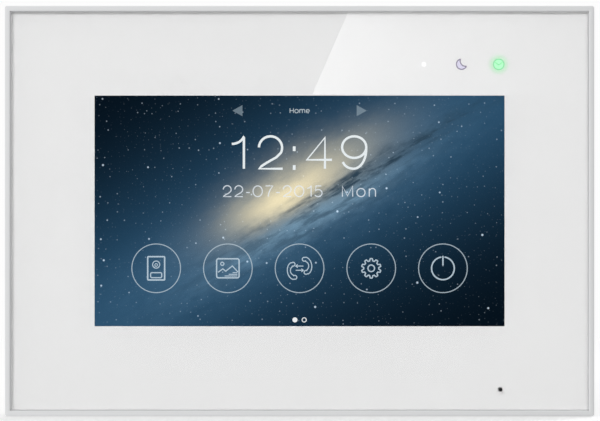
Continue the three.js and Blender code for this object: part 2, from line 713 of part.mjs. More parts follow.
function rearCover() {
  const outer = join(
    plate(roundedRect(COVER.lipWidth, COVER.lipHeight, 1.5), [COVER.front, COVER.lipRear]),
    loft(coverSections(0, COVER.lipRear - 0.1, COVER.rear)),
  );
  const inner = loft(coverSections(COVER.wall, COVER.front - BEYOND, coverInnerRear));
  const through = [COVER.front - BEYOND, BEYOND];
  const recessSpan = (wall) => [
    about(0, 2 * (RECESS.x + wall)),
    [RECESS.floor - wall, wall ? coverInnerRear + 0.5 : BEYOND],
    [RECESS.low - wall, RECESS.high + wall],
  ];
  const baySpan = (wall) => [
    about(0, 2 * (BAY.x + wall)),
    wall ? [BOARD_TOP + GAP, RECESS.floor - 0.5] : through,
    [BAY.low - wall, BAY.high + wall],
  ];
  const posts = atCorners(COVER_SCREW.x, COVER_SCREW.z, (x, z) =>
    rodY(x, z, 4.5, [COVER.front - GAP, coverInnerRear + 0.5]),
  );
  const shell = join(cut(outer, inner), ...posts, block(...recessSpan(RECESS.wall)));
  const speakerWell = turned(
    [
      [SPEAKER.radius + 0.3, coverInnerRear - 3.5],
      [SPEAKER.radius + 1.5, coverInnerRear - 3.5],
      [SPEAKER.radius + 1.5, coverInnerRear + 0.5],
      [SPEAKER.radius + 0.3, coverInnerRear + 0.5],
    ],
    SPEAKER.x,
    SPEAKER.z,
  );
  const bayFence = block(...baySpan(BAY.wall));
  const fenced = join(cut(shell, block(...recessSpan(0))), bayFence, speakerWell);
  const screwSeat = COVER.rear - 5;
  const screwHoles = atCorners(COVER_SCREW.x, COVER_SCREW.z, (x, z) =>
    join(rodY(x, z, 1.7, through, 12), rodY(x, z, COVER_SCREW.head + 0.5, [screwSeat, BEYOND])),
  );
  const cardSlot = block(
    [CIRCUIT.right + 2, WIDTH / 2],
    [CARD.y[0] - 0.4, CARD.y[1] + 0.4],
    about(CARD.z, CARD.width + 1.4),
  );
  const thumbNotch = rodY(110.6, CARD.z, 8, [-15, -10.8], 40);
  const resetHole = rodX(RESET.y, RESET.z, RESET.hole, [CIRCUIT.right + 2, WIDTH / 2]);
  return cut(
    fenced,
    block(...baySpan(0)),
    ...screwHoles,
    ...hookSlots(),
    ...grilleSlots(),
    ...ventSlots(),
    cardSlot,
    thumbNotch,
    resetHole,
  );
}

piece('rear_cover', rearCover(), WHITE_PLASTIC);

atCorners(COVER_SCREW.x, COVER_SCREW.z, (x, z) => [x, z]).forEach(([x, z], i) => {
  const seat = COVER.rear - 5 + GAP;
  const tip = LEDGE.rear - 0.4 + 0.7;
  piece(`cover_screw_${i + 1}`, screw(x, z, COVER_SCREW, 2, [tip, seat]), STEEL);
});

atCorners(BUMPER.x, BUMPER.z, (x, z) => [x, z]).forEach(([x, z], i) => {
  piece(`bumper_${i + 1}`, rodY(x, z, BUMPER.radius, [COVER.rear + 0.05, -0.05], 24), RUBBER);
});

const labelLayer = layer(COVER.rear + 0.05, LABEL_PLACE.thickness);
const labelOutline = roundedRect(LABEL_PLACE.width, LABEL_PLACE.height, 1.5, 0, LABEL_PLACE.z);
piece('rating_label', plate(labelOutline, labelLayer.span), LABEL);

// ---- Wall bracket ----------------------------------------------------------------------

/** One hook bent out of the bracket: a neck towards the monitor, and a tongue that points up. */
function hook({ x, low }) {
  const width = about(x, HOOK.width);
  const neck = block(width, [HOOK.reach, -BRACKET.thickness / 2], [low, low + BRACKET.thickness]);
  const tongue = block(width, [HOOK.reach, HOOK.reach + BRACKET.thickness], [low, low + HOOK.height]);
  return join(neck, tongue);
}

function wallBracket() {
  const { width, height, thickness } = BRACKET;
  const through = [-thickness - BEYOND, BEYOND];
  const slot = (x, z, length, tall) => {
    const radius = Math.min(length, tall) / 2 - 0.01;
    return plate(roundedRect(length, tall, radius, x, z), through);
  };
  const cableWindow = plate(roundedRect(76, 28, 3, 0, -22), through);
  const sideSlots = [-30, 30].map((x) => slot(x, 0, 10, 4));
  const middleSlots = [slot(0, 32, 4, 10), slot(0, -39, 10, 3.6)];
  const cornerHoles = atCorners(width / 2 - 6, height / 2 - 4.5, (x, z) =>
    rodY(x, z, 2, through, 16),
  );
  const hookWindows = hookPlaces.map(({ x, low }) =>
    block(about(x, HOOK.width), through, [low + thickness, low + HOOK.height + 1.5]),
  );
  const sheet = cut(
    plate(roundedRect(width, height, 6), [-thickness, 0]),
    cableWindow,
    ...sideSlots,
    ...middleSlots,
    ...cornerHoles,
    ...hookWindows,
  );
  return join(sheet, ...hookPlaces.map(hook));
}

piece('wall_bracket', wallBracket(), STEEL);

export default monitor;
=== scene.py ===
"""The looks of a wall-mounted video intercom monitor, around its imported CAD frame.

The frame is in metres, +Z up. The glass faces -Y and the wall is the plane y = 0. Shapes below
are given in millimetres and scaled once, where their vertices are made.
"""

import json

from math import atan2, ceil, cos, degrees, pi, radians, sin, sqrt

import bmesh
import bpy
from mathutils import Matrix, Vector


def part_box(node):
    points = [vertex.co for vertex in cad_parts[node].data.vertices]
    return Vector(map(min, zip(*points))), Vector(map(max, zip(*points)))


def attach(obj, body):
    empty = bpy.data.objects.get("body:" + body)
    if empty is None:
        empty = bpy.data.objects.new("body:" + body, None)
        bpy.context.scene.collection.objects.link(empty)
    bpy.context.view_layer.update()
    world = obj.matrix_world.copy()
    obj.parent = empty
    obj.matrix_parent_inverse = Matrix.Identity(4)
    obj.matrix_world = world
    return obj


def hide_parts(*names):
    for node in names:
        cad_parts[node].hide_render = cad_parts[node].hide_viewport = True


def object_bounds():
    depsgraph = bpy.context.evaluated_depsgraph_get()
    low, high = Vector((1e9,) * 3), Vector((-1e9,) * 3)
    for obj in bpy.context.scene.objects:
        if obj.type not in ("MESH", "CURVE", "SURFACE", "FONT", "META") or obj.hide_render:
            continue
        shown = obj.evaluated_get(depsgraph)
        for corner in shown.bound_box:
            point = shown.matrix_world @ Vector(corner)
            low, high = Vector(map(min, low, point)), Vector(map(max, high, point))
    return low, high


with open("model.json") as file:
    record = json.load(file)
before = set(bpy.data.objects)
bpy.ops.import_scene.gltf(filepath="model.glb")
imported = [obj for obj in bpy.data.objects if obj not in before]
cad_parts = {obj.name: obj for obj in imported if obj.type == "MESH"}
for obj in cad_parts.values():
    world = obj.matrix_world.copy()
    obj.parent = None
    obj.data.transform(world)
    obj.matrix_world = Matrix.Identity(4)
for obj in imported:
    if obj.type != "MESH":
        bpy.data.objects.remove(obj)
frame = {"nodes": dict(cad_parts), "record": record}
cad_box = [list(corner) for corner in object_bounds()]

MM = 0.001


def span_mm(node):
    """The low and high corner of a CAD node, in millimetres."""
    low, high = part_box(node)
    return low / MM, high / MM


# ---- Driving dimensions, millimetres ---------------------------------------------------

FRAME_LOW, FRAME_HIGH = span_mm("bezel_frame")
FRAME_WIDTH = FRAME_HIGH.x - FRAME_LOW.x
FRAME_HEIGHT = FRAME_HIGH.z - FRAME_LOW.z
GLASS_LOW, GLASS_HIGH = span_mm("front_glass")
PRINT_LOW, PRINT_HIGH = span_mm("mask_print")
DISPLAY_WIDTH = 155.0
DISPLAY_HEIGHT = 87.2
PICTURE_FRONT = PRINT_LOW.y + 0.06  # the picture lies in the window of the white print
PICTURE_REAR = PRINT_HIGH.y
UI_FRONT = PRINT_LOW.y  # the drawn symbols lie just in front of the picture
UI_REAR = PICTURE_FRONT - 0.01
SYMBOL_FRONT = GLASS_HIGH.y + 0.02  # the lamps' symbols lie between glass and print
SYMBOL_REAR = PRINT_LOW.y - 0.02

FRAME_WALL = 2.1  # the metal's width as seen from the front
FRAME_CORNER = 0.7
MICROPHONE_RADIUS = 0.72
LAMP_Z = 55.4
DOT_X, MOON_X, MESSAGE_X = 47.0, 61.1, 75.3


# ---- Camera, lights and floor ----------------------------------------------------------

PICTURE_WIDTH = 226.5  # how much of the front plane the camera takes in
LENS = 200.0
SENSOR = 36.0
CAMERA_DISTANCE = PICTURE_WIDTH * LENS / SENSOR


def add_camera():
    data = bpy.data.cameras.new("camera")
    data.lens = LENS
    data.sensor_width = SENSOR
    data.clip_start = 0.01
    data.clip_end = 50
    camera = bpy.data.objects.new("camera", data)
    bpy.context.scene.collection.objects.link(camera)
    camera.location = (0.00017, (FRAME_LOW.y - CAMERA_DISTANCE) * MM, 0.00015)
    camera.rotation_euler = (pi / 2, 0, 0)
    bpy.context.scene.camera = camera


def area_light(name, location, side, watts):
    """A square lamp that faces the object's origin."""
    data = bpy.data.lights.new(name, "AREA")
    data.shape = "SQUARE"
    data.size = side
    data.energy = watts
    light = bpy.data.objects.new(name, data)
    bpy.context.scene.collection.objects.link(light)
    light.location = location
    light.rotation_euler = Vector(location).to_track_quat("Z", "Y").to_euler()
    light.visible_camera = False
    return light


class Nodes:
    """A node tree, and the few operations that the surfaces below are made of."""

    def __init__(self, tree):
        self.tree = tree

    def node(self, kind, **settings):
        made = self.tree.nodes.new(kind)
        for key, value in settings.items():
            setattr(made, key, value)
        return made

    def link(self, value, socket):
        """Gives a socket another socket's output, or a plain number or colour."""
        if isinstance(value, bpy.types.NodeSocket):
            self.tree.links.new(value, socket)
        else:
            socket.default_value = value

    def math(self, operation, *values, clamp=False):
        made = self.node("ShaderNodeMath", operation=operation, use_clamp=clamp)
        for value, socket in zip(values, made.inputs):
            self.link(value, socket)
        return made.outputs[0]

    def product(self, *values):
        result = values[0]
        for value in values[1:]:
            result = self.math("MULTIPLY", result, value)
        return result

    def total(self, *values):
        result = values[0]
        for value in values[1:]:
            result = self.math("ADD", result, value)
        return result

    def ramp_between(self, value, low, high, to=(0.0, 1.0), smooth=False):
        made = self.node("ShaderNodeMapRange")
        made.interpolation_type = "SMOOTHSTEP" if smooth else "LINEAR"
        self.link(value, made.inputs["Value"])
        ends = {"From Min": low, "From Max": high, "To Min": to[0], "To Max": to[1]}
        for name, number in ends.items():
            made.inputs[name].default_value = number
        return made.outputs[0]


KEY_WATTS, FILL_WATTS, BACK_WATTS = 15.7, 6.9, 15.0
BACKDROP = 0.98  # what the camera sees behind the object
FLOOR_GLOW = 0.25  # lifts the floor towards the backdrop where the camera sees it
FLOOR_FADE = (0.14, 0.75)  # metres from the object, over which the floor becomes the backdrop
SOFT_LIGHT = 0.55  # what lights the matt surfaces
METAL_LIGHT = 0.92  # what the satin metal mirrors
METAL_SLOPE = (-0.8, 0.3)  # how that grows with X and Z: brighter to the upper left
METAL_RANGE = (0.56, 1.08)
GLASS_LIGHT = 0.30  # what the clear glass mirrors
CAMERA_SIDE = (-0.90, -0.97)  # directions past which the surround lies behind the camera
CARD_DISTANCE = 1600.0  # from the glass to the card that makes the glare
CARD_GLOW = 3.1
CARD_FADE = 1.8  # how fast the card dims towards the right
GLARE_LEFT, GLARE_RIGHT = 4.7, 125.0  # where the glare starts and ends on the glass
GLARE_SLANT = 0.434  # how far its left edge leans for each millimetre of height
GLARE_GAP = 0.3  # between the display's top and the glare
CARD_HEIGHT = 110.0


def add_world():
    """A pale surround, dark only where the flat glass would mirror it into the camera."""
    world = bpy.data.worlds.new("studio")
    world.use_nodes = True
    bpy.context.scene.world = world
    sky = Nodes(world.node_tree)
    direction = sky.node("ShaderNodeSeparateXYZ")
    sky.link(sky.node("ShaderNodeTexCoord").outputs["Generated"], direction.inputs[0])
    x, y, z = direction.outputs
    rays = sky.node("ShaderNodeLightPath").outputs
    seen, glossy, sharp = rays["Is Camera Ray"], rays["Is Glossy Ray"], rays["Is Singular Ray"]
    to_camera = sky.ramp_between(y, *CAMERA_SIDE, smooth=True)
    off_camera = sky.math("SUBTRACT", 1.0, to_camera)

    through = sky.math("MULTIPLY", rays["Is Transmission Ray"], to_camera)
    open_sky = sky.math("MULTIPLY_ADD", z, 0.08, SOFT_LIGHT)
    soft = sky.math("MULTIPLY", open_sky, sky.math("SUBTRACT", 1.0, through))
    slope = sky.total(METAL_LIGHT, sky.math("MULTIPLY", x, METAL_SLOPE[0]),
                      sky.math("MULTIPLY", z, METAL_SLOPE[1]))
    metal = sky.math("MAXIMUM", METAL_RANGE[0], sky.math("MINIMUM", slope, METAL_RANGE[1]))
    mirrored = sky.math("MULTIPLY", off_camera, GLASS_LIGHT)
    satin = sky.math("SUBTRACT", glossy, sky.math("MULTIPLY", glossy, sharp))
    flat = sky.math("MULTIPLY", glossy, sharp)
    rest = sky.math("SUBTRACT", 1.0, sky.math("MAXIMUM", glossy, seen))
    level = sky.total(sky.product(seen, BACKDROP), sky.product(satin, metal),
                      sky.product(flat, mirrored), sky.product(rest, soft))
    background = world.node_tree.nodes["Background"]
    background.inputs["Color"].default_value = (1, 1, 1, 1)
    sky.link(level, background.inputs["Strength"])


def add_glare_card():
    """A bright card behind the camera. The glass above the display mirrors its slanted edge."""
    grow = 1 + CARD_DISTANCE / CAMERA_DISTANCE
    low = (DISPLAY_HEIGHT / 2 + GLARE_GAP) * grow
    high = low + CARD_HEIGHT
    left_low, right = GLARE_LEFT * grow, GLARE_RIGHT * grow
    left_high = left_low + GLARE_SLANT * (high - low)
    bm = bmesh.new()
    y = GLASS_LOW.y - CARD_DISTANCE
    corners = [(left_low, low), (right, low), (right, high), (left_high, high)]
    bm.faces.new([bm.verts.new((x * MM, y * MM, z * MM)) for x, z in corners])
    mesh = bpy.data.meshes.new("glare_card")
    bm.to_mesh(mesh)
    bm.free()
    card = bpy.data.objects.new("glare_card", mesh)
    bpy.context.scene.collection.objects.link(card)
    finish = Finish("glare_card")
    x, _, _ = finish.axes()
    across = finish.ramp_between(x, left_low * MM, right * MM)
    fade = finish.math("POWER", finish.math("SUBTRACT", 1.0, across), CARD_FADE)
    emission = finish.node("ShaderNodeEmission")
    finish.link(finish.math("MULTIPLY", fade, CARD_GLOW), emission.inputs["Strength"])
    finish.link(emission.outputs[0], finish.output.inputs["Surface"])
    mesh.materials.append(finish.material)
    card.visible_camera = False
    card.visible_diffuse = False
    card.visible_shadow = False
    card.visible_transmission = False


def add_floor():
    bm = bmesh.new()
    bmesh.ops.create_circle(bm, cap_ends=True, segments=96, radius=8)
    mesh = bpy.data.meshes.new("floor")
    bm.to_mesh(mesh)
    bm.free()
    floor = bpy.data.objects.new("floor", mesh)
    bpy.context.scene.collection.objects.link(floor)
    floor.location.z = cad_box[0][2] - 0.0004
    floor.visible_glossy = False
    floor.visible_transmission = False
    finish = Finish("floor")
    seen = finish.node("ShaderNodeLightPath").outputs["Is Camera Ray"]
    from_object = finish.node("ShaderNodeVectorMath", operation="LENGTH")
    finish.link(finish.position, from_object.inputs[0])
    far = finish.ramp_between(from_object.outputs["Value"], *FLOOR_FADE, smooth=True)
    glow = finish.math("MULTIPLY_ADD", far, BACKDROP - FLOOR_GLOW, FLOOR_GLOW)
    finish.set(base=finish.blend(far, (0.9, 0.9, 0.9), (0.0, 0.0, 0.0)), roughness=0.9, specular=0.0,
               emission=(1, 1, 1), strength=finish.math("MULTIPLY", seen, glow))
    mesh.materials.append(finish.material)


# ---- Materials -------------------------------------------------------------------------


class Finish(Nodes):
    """A material's nodes."""

    def __init__(self, name):
        self.material = bpy.data.materials.new(name)
        self.material.use_nodes = True
        super().__init__(self.material.node_tree)
        self.principled = self.tree.nodes["Principled BSDF"]
        self.output = self.tree.nodes["Material Output"]
        self.position = self.node("ShaderNodeTexCoord").outputs["Object"]

    def set(self, base=None, roughness=None, metallic=None, specular=None,
            emission=None, strength=None, alpha=None, transmission=None, ior=None):
        """Sets the shader's own sockets."""
        names = {
            "Base Color": base, "Roughness": roughness, "Metallic": metallic,
            "Specular IOR Level": specular, "Emission Color": emission,
            "Emission Strength": strength, "Alpha": alpha, "Transmission Weight": transmission,
            "IOR": ior,
        }
        for name, value in names.items():
            if value is None:
                continue
            if isinstance(value, tuple) and len(value) == 3:
                value = (*value, 1.0)
            self.link(value, self.principled.inputs[name])
        return self

    def axes(self):
        """The X, Y and Z of the point being shaded, in metres."""
        parts = self.node("ShaderNodeSeparateXYZ")
        self.link(self.position, parts.inputs[0])
        return tuple(parts.outputs)

    def scaled(self, stretch):
        """The position with each axis multiplied, for a texture that runs along one of them."""
        made = self.node("ShaderNodeVectorMath", operation="MULTIPLY")
        self.link(self.position, made.inputs[0])
        made.inputs[1].default_value = stretch
        return made.outputs[0]

    def noise(self, scale, detail=3.0, roughness=0.55, vector=None):
        """Soft noise between 0 and 1, with about scale blobs to the metre."""
        made = self.node("ShaderNodeTexNoise")
        made.inputs["Scale"].default_value = scale
        made.inputs["Detail"].default_value = detail
        made.inputs["Roughness"].default_value = roughness
        self.link(self.position if vector is None else vector, made.inputs["Vector"])
        return made.outputs["Fac"]

    def blend(self, factor, a, b, mode="MIX"):
        """Two colours mixed by a factor."""
        made = self.node("ShaderNodeMix", data_type="RGBA", blend_type=mode)
        self.link(factor, made.inputs["Factor"])
        for value, name in ((a, "A"), (b, "B")):
            socket = next(s for s in made.inputs if s.name == name and s.type == "RGBA")
            self.link((*value, 1.0) if isinstance(value, tuple) else value, socket)
        return next(s for s in made.outputs if s.type == "RGBA")

    def bump(self, height, depth):
        """Raises the surface by height, which runs from 0 to 1, times depth in metres."""
        made = self.node("ShaderNodeBump")
        made.inputs["Strength"].default_value = 1.0
        made.inputs["Distance"].default_value = depth
        self.link(height, made.inputs["Height"])
        self.link(made.outputs[0], self.principled.inputs["Normal"])
        return self


def varied(finish, color, amount, scale):
    """A colour that drifts a little lighter and darker over the surface."""
    darker = tuple(c * (1 - amount) for c in color)
    lighter = tuple(min(1.0, c * (1 + amount)) for c in color)
    return finish.blend(finish.noise(scale), darker, lighter)


def anodised_aluminium():
    """Satin metal, brushed along each bar, with the brushing turned at the mitres."""
    finish = Finish("anodised_aluminium")
    x, _, z = finish.axes()
    along_x = finish.noise(1.0, 4.0, vector=finish.scaled((120, 9000, 9000)))
    along_z = finish.noise(1.0, 4.0, vector=finish.scaled((9000, 9000, 120)))
    half_difference = (FRAME_WIDTH - FRAME_HEIGHT) / 2 * MM
    past_mitre = finish.math("SUBTRACT", finish.math("ABSOLUTE", x), finish.math("ABSOLUTE", z))
    upright = finish.math("GREATER_THAN", past_mitre, half_difference)
    grain = finish.math("ADD", finish.math("MULTIPLY", upright, along_z),
                        finish.math("MULTIPLY", finish.math("SUBTRACT", 1.0, upright), along_x))
    finish.set(base=finish.blend(grain, (0.74, 0.75, 0.76), (0.82, 0.825, 0.83)), metallic=1.0,
               roughness=finish.ramp_between(grain, 0.2, 0.8, to=(0.36, 0.48)))
    finish.bump(grain, 0.000006)
    return finish.material


def clear_glass():
    """Clear glass that lets light through to what lies behind it."""
    finish = Finish("clear_glass")
    finish.set(base=(0.99, 0.99, 0.99), roughness=0.0, transmission=1.0, ior=1.5)
    clear = finish.node("ShaderNodeBsdfTransparent")
    clear.inputs["Color"].default_value = (0.97, 0.97, 0.97, 1.0)
    choose = finish.node("ShaderNodeMixShader")
    finish.link(finish.node("ShaderNodeLightPath").outputs["Is Shadow Ray"], choose.inputs[0])
    finish.link(finish.principled.outputs[0], choose.inputs[1])
    finish.link(clear.outputs[0], choose.inputs[2])
    finish.link(choose.outputs[0], finish.output.inputs["Surface"])
    return finish.material


def white_print():
    finish = Finish("white_print")
    finish.set(base=varied(finish, (0.86, 0.86, 0.86), 0.006, 900), roughness=0.55, specular=0.3)
    finish.bump(finish.noise(9000), 0.000004)
    return finish.material


def moulded_plastic(name, color, roughness=0.5, grain=2600, depth=0.00002, drift=0.02):
    """Moulded plastic with a fine spark-eroded texture."""
    finish = Finish(name)
    finish.set(base=varied(finish, color, drift, 60), specular=0.45,
               roughness=finish.ramp_between(finish.noise(grain * 0.4), 0.3, 0.7,
                                             to=(roughness - 0.06, roughness + 0.06)))
    finish.bump(finish.noise(grain, 4.0, 0.6), depth)
    return finish.material


def zinc_steel(name, color=(0.62, 0.63, 0.64), roughness=0.36):
    """Zinc-coated sheet, with faint spangle and a rolling grain."""
    finish = Finish(name)
    spangle = finish.node("ShaderNodeTexVoronoi")
    spangle.inputs["Scale"].default_value = 260
    finish.link(finish.position, spangle.inputs["Vector"])
    grey = finish.node("ShaderNodeSeparateColor")
    finish.link(spangle.outputs["Color"], grey.inputs[0])
    patches = finish.ramp_between(grey.outputs[0], 0.0, 1.0, to=(0.35, 0.65))
    rolled = finish.noise(1.0, 3.0, vector=finish.scaled((200, 2500, 2500)))
    mixed = finish.math("MULTIPLY", finish.math("ADD", patches, rolled), 0.5)
    darker = tuple(c * 0.86 for c in color)
    lighter = tuple(c * 1.12 for c in color)
    finish.set(base=finish.blend(mixed, darker, lighter), metallic=1.0,
               roughness=finish.ramp_between(mixed, 0.3, 0.7, to=(roughness - 0.07, roughness + 0.1)))
    finish.bump(rolled, 0.000008)
    return finish.material


def plated(name, color, roughness):
    finish = Finish(name)
    rolled = finish.noise(1.0, 3.0, vector=finish.scaled((400, 3500, 3500)))
    finish.set(base=varied(finish, color, 0.05, 300), metallic=1.0,
               roughness=finish.ramp_between(rolled, 0.3, 0.7, to=(roughness * 0.8, roughness * 1.25)))
    finish.bump(rolled, 0.000001)
    return finish.material


def soft_rubber():
    finish = Finish("soft_rubber")
    dust = finish.noise(700, 5.0, 0.7)
    dusty = finish.ramp_between(dust, 0.5, 0.8)
    finish.set(base=finish.blend(dusty, (0.022, 0.022, 0.024), (0.05, 0.05, 0.052)),
               roughness=0.82, specular=0.25)
    finish.bump(finish.noise(5200, 3.0), 0.00003)
    return finish.material


def circuit_board():
    """Green solder mask, with darker tracks that run along X and Z under it."""
    finish = Finish("circuit_board")
    x, _, z = finish.axes()

    def tracks(axis, other, pitch):
        wave = finish.math("PINGPONG", axis, pitch)
        lines = finish.math("GREATER_THAN", wave, pitch * 0.62)
        cells = finish.noise(1.0, 0.0, vector=finish.scaled((90, 1, 90)))
        there = finish.math("GREATER_THAN" if other else "LESS_THAN", cells, 0.5)
        return finish.math("MULTIPLY", lines, there)

    copper = finish.math("MAXIMUM", tracks(x, True, 0.0009), tracks(z, False, 0.0009))
    finish.set(base=finish.blend(copper, (0.012, 0.115, 0.05), (0.022, 0.18, 0.075)),
               roughness=0.3, specular=0.5)
    finish.bump(copper, 0.00002)
    return finish.material


def amber_film():
    finish = Finish("amber_film")
    x, _, _ = finish.axes()
    wave = finish.math("PINGPONG", x, 0.0004)
    tracks = finish.math("GREATER_THAN", wave, 0.0002)
    finish.set(base=finish.blend(tracks, (0.42, 0.2, 0.05), (0.55, 0.27, 0.08)), roughness=0.32)
    finish.bump(tracks, 0.00001)
    return finish.material


def lit_lamp(name, color, strength):
    finish = Finish(name)
    glow = finish.ramp_between(finish.noise(2500), 0.3, 0.7, to=(strength * 0.95, strength * 1.05))
    finish.set(base=color, roughness=0.4, emission=color, strength=glow)
    return finish.material


# ---- Meshes ----------------------------------------------------------------------------


def new_piece(name, bm, material, body, smooth_angle=35.0):
    """Makes an object of a bmesh in millimetres, smooth but for its sharp edges, on a body."""
    bmesh.ops.scale(bm, vec=(MM, MM, MM), verts=bm.verts)
    bmesh.ops.recalc_face_normals(bm, faces=bm.faces)
    for face in bm.faces:
        face.smooth = True
    for edge in bm.edges:
        sharp = len(edge.link_faces) == 2 and edge.calc_face_angle(0) > radians(smooth_angle)
        edge.smooth = not sharp
    mesh = bpy.data.meshes.new(name)
    bm.to_mesh(mesh)
    bm.free()
    mesh.materials.append(material)
    made = bpy.data.objects.new(name, mesh)
    bpy.context.scene.collection.objects.link(made)
    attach(made, body)
    return made


def body_of_node(node):
    bodies = frame["record"]["behaviour"]["bodies"]
    return next(body for body, members in bodies.items() if node in members)


def refine(node, material, bevel):
    """A finer copy of a CAD node: its flat faces are whole again and its edges are rounded."""
    bm = bmesh.new()
    bm.from_mesh(frame["nodes"][node].data)
    bmesh.ops.scale(bm, vec=(1 / MM, 1 / MM, 1 / MM), verts=bm.verts)
    bmesh.ops.remove_doubles(bm, verts=bm.verts, dist=0.002)
    bmesh.ops.dissolve_limit(bm, angle_limit=radians(0.5), verts=bm.verts, edges=bm.edges)
    if bevel:
        edges = [e for e in bm.edges if len(e.link_faces) == 2 and e.calc_face_angle(0) > radians(40)]
        bmesh.ops.bevel(bm, geom=edges, offset=bevel, offset_type="OFFSET", segments=2,
                        profile=0.5, affect="EDGES", clamp_overlap=True)
    made = new_piece(node + "_fine", bm, material, body_of_node(node))
    weighted = made.modifiers.new("weighted_normals", "WEIGHTED_NORMAL")
    weighted.keep_sharp = True
    weighted.weight = 80
    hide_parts(node)
    return made


def ring_of(bm, points):
    return [bm.verts.new(point) for point in points]


def skin(bm, a, b):
    """Joins two closed rings of vertices with quads."""
    for i in range(len(a)):
        j = (i + 1) % len(a)
        bm.faces.new((a[i], a[j], b[j], b[i]))


def add_plate(bm, outline, front, rear):
    """A flat piece with a closed outline of (x, z) points."""
    near = ring_of(bm, [(x, front, z) for x, z in outline])
    far = ring_of(bm, [(x, rear, z) for x, z in outline])
    bm.faces.new(near)
    bm.faces.new(list(reversed(far)))
    skin(bm, near, far)


def add_box(bm, x, y, z):
    """A block between two values on each axis."""
    add_plate(bm, [(x[0], z[0]), (x[1], z[0]), (x[1], z[1]), (x[0], z[1])], y[0], y[1])


def edges_of_line(points, width, closed):
    """The left and right edge of a line of constant width, with mitred corners."""
    count = len(points)
    left, right = [], []
    for i, point in enumerate(points):
        here = Vector(point)
        before = Vector(points[i - 1]) if closed or i else None
        after = Vector(points[(i + 1) % count]) if closed or i < count - 1 else None
        arriving = (here - before).normalized() if before is not None else None
        leaving = (after - here).normalized() if after is not None else None
        arriving, leaving = arriving or leaving, leaving or arriving
        along = (arriving + leaving).normalized()
        normal = Vector((-along.y, along.x))
        stretch = min(1.3, 1 / max(0.2, along.dot(arriving)))
        left.append(here + normal * width / 2 * stretch)
        right.append(here - normal * width / 2 * stretch)
    return left, right


def add_line(bm, points, width, front, rear, closed=False):
    """A drawn line: a thin bar of constant width through (x, z) points."""
    left, right = edges_of_line(points, width, closed)
    rings = []
    for (lx, lz), (rx, rz) in zip(left, right):
        rings.append(ring_of(bm, [(lx, front, lz), (rx, front, rz), (rx, rear, rz), (lx, rear, lz)]))
    for i in range(len(rings) - 1):
        skin(bm, rings[i], rings[i + 1])
    if closed:
        skin(bm, rings[-1], rings[0])
    else:
        bm.faces.new(rings[0])
        bm.faces.new(list(reversed(rings[-1])))


def arc(cx, cz, rx, rz, start, end, steps=None):
    """Points on an ellipse from one angle to another, in degrees."""
    steps = steps or max(4, ceil(abs(end - start) / 7.5))
    angles = [radians(start + (end - start) * i / steps) for i in range(steps + 1)]
    return [(cx + rx * cos(a), cz + rz * sin(a)) for a in angles]


def circle(cx, cz, radius, steps=48):
    return arc(cx, cz, radius, radius, 0, 360, steps)[:-1]


def rounded(width, height, radius, cx=0.0, cz=0.0, steps=6):
    """The outline of a rectangle with round corners."""
    points = []
    for i, (sx, sz) in enumerate(((1, -1), (1, 1), (-1, 1), (-1, -1))):
        corner = (cx + sx * (width / 2 - radius), cz + sz * (height / 2 - radius))
        points += arc(*corner, radius, radius, -90 + 90 * i, 90 * i, steps)
    return points


# ---- Front -----------------------------------------------------------------------------


def sweep_frame(bm, profile):
    """Carries a closed profile of (inset, y) points round the frame's rectangle."""
    rings = []
    for inset, y in profile:
        radius = max(FRAME_CORNER - inset, 0.08)
        outline = rounded(FRAME_WIDTH - 2 * inset, FRAME_HEIGHT - 2 * inset, radius, steps=4)
        rings.append(ring_of(bm, [(x, y, z) for x, z in outline]))
    for i, current in enumerate(rings):
        skin(bm, current, rings[(i + 1) % len(rings)])


def soften(profile, corners):
    """A profile whose named corners are rounded: corners maps an index to a radius."""
    points = []
    for i, point in enumerate(profile):
        here = Vector(point)
        radius = corners.get(i)
        if not radius:
            points.append(tuple(here))
            continue
        before = here + (Vector(profile[i - 1]) - here).normalized() * radius
        after = here + (Vector(profile[(i + 1) % len(profile)]) - here).normalized() * radius
        for step in range(5):
            t = step / 4
            points.append(tuple(before * (1 - t) ** 2 + here * 2 * t * (1 - t) + after * t * t))
    return points


def make_frame(metal):
    """The metal frame: a slim face round the glass, a side wall and an inner ledge."""
    wall, ledge = FRAME_WALL, 5.6
    front, rear = FRAME_LOW.y, FRAME_HIGH.y
    _, tape_high = span_mm("glass_tape")
    ledge_front, ledge_rear = tape_high.y + 0.1, tape_high.y + 1.3
    profile = [
        (0, rear), (0, front), (wall, front), (wall, ledge_front), (ledge, ledge_front),
        (ledge, ledge_rear), (wall, ledge_rear), (wall, rear),
    ]
    bm = bmesh.new()
    sweep_frame(bm, soften(profile, {0: 0.2, 1: 0.16, 2: 0.4, 7: 0.2}))
    made = new_piece("metal_frame", bm, metal, "monitor", smooth_angle=50)
    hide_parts("bezel_frame")


def make_glass_seal():
    """A grey bead that fills the gap between the frame and the glass."""
    inner_x, inner_z = GLASS_HIGH.x + 0.01, GLASS_HIGH.z + 0.01
    width = FRAME_WIDTH / 2 - FRAME_WALL - inner_x - 0.01
    front, rear = GLASS_LOW.y + 0.05, GLASS_HIGH.y
    outline = rounded(2 * inner_x + width, 2 * inner_z + width, 0.45, steps=4)
    bm = bmesh.new()
    add_line(bm, outline, width, front, rear, True)
    grey = moulded_plastic("seal_grey", (0.66, 0.66, 0.67), 0.6)
    new_piece("glass_seal", bm, grey, "monitor")


def make_microphone_mesh():
    """The dark mesh seen in the microphone's hole in the glass."""
    low, high = span_mm("microphone")
    centre_x, centre_z = (low.x + high.x) / 2, (low.z + high.z) / 2
    bm = bmesh.new()
    outline = circle(centre_x, centre_z, MICROPHONE_RADIUS, 32)
    add_plate(bm, outline, GLASS_LOW.y + 0.25, GLASS_LOW.y + 0.45)
    new_piece("microphone_mesh", bm, soft_rubber(), "monitor")


# ---- Display: picture and drawn interface ----------------------------------------------


